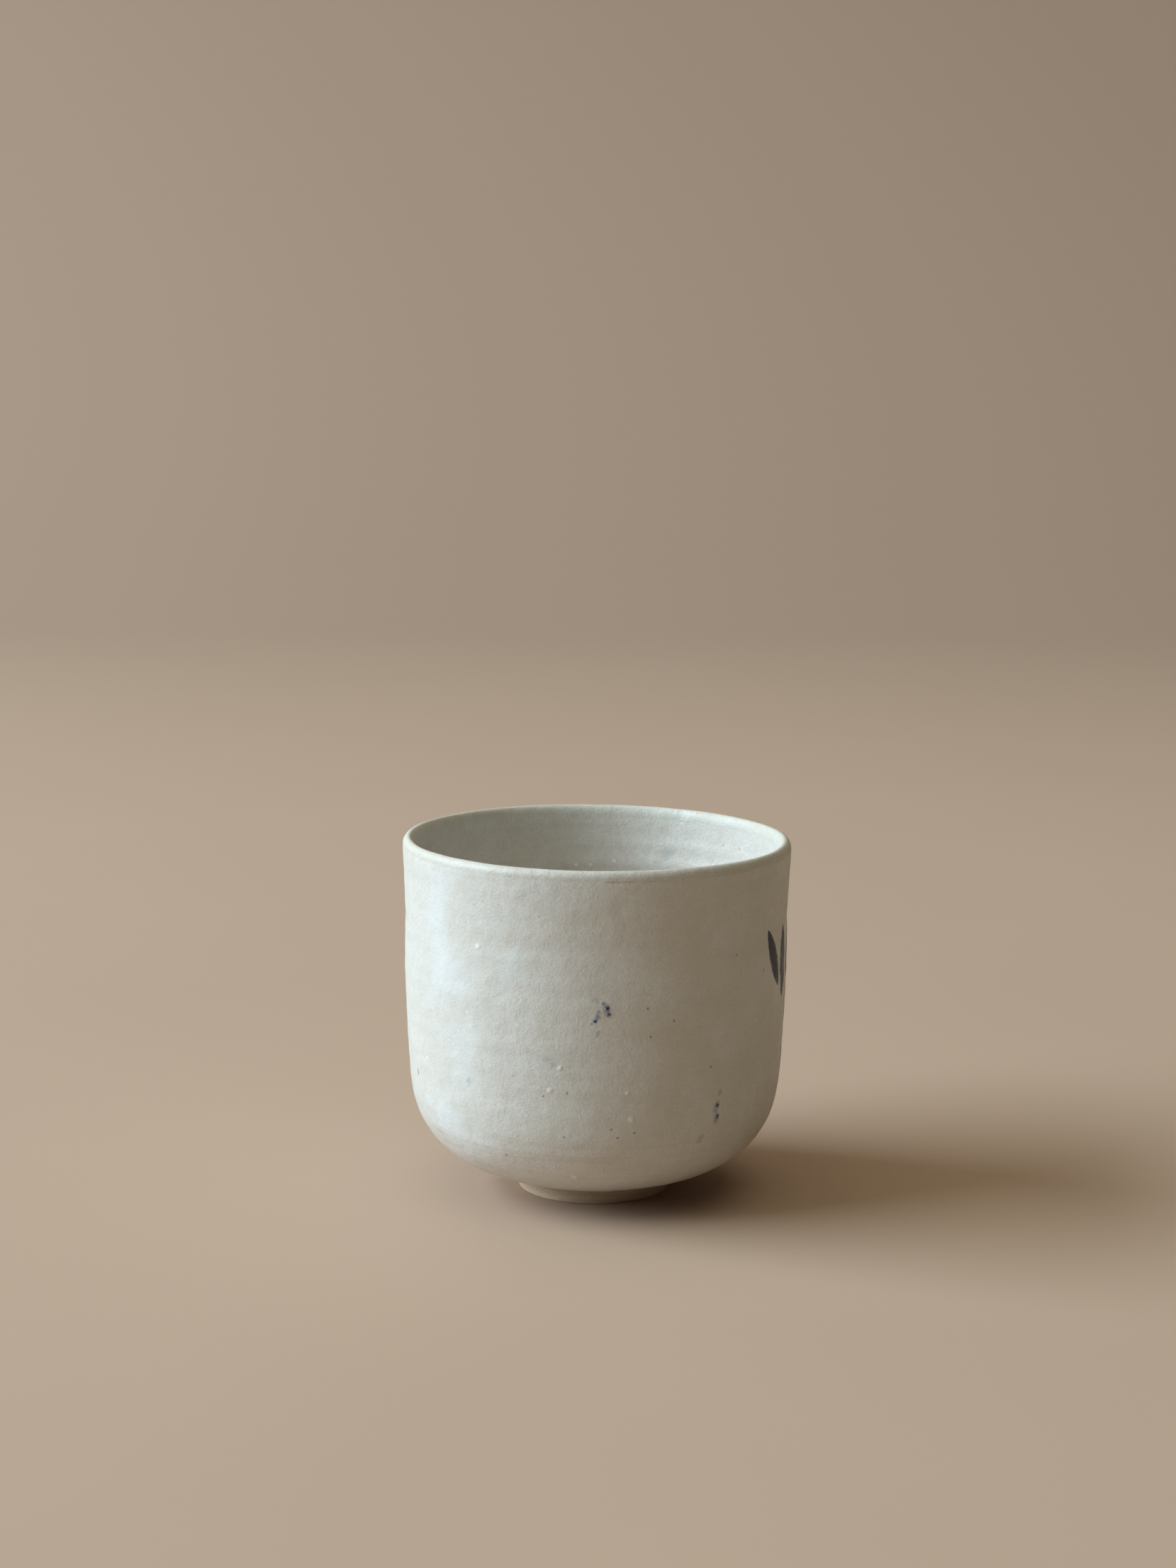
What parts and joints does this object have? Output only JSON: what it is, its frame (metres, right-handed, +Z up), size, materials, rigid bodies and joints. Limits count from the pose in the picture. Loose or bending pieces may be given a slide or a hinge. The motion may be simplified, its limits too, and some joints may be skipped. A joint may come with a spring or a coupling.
{
  "type": "yunomi tea cup",
  "caption": "Handleless stoneware tea cup: upright round wall, rounded base on a small bare foot ring, pale satin glaze with sparse cobalt marks.",
  "frame": {"origin": "centre of the foot ring's resting face, on the table", "axes": "+Z up along the cup's axis, -Y towards the viewer of the picture, +X to their right"},
  "size_m": [0.0842, 0.0842, 0.0777],
  "materials": {
    "clay": "bare fired stoneware, fine sandy grain",
    "bare_clay": "bare turned stoneware, fine sandy grain",
    "outer_glaze": "satin off-white glaze, eggshell texture",
    "lip_glaze": "thin satin glaze, warm where the clay shows through",
    "inner_glaze": "satin off-white glaze with faint throwing rings",
    "cobalt": "matt blue-black cobalt brushwork",
    "feldspar": "white feldspar under glaze"
  },
  "bodies": {
    "root": {"clay_body": "clay", "foot_ring": "bare_clay", "outer_glaze": "outer_glaze", "lip_glaze": "lip_glaze", "inner_glaze": "inner_glaze", "brush_dabs": "cobalt", "cobalt_specks": "cobalt", "feldspar_grains": "feldspar"}
  },
  "joints": []
}
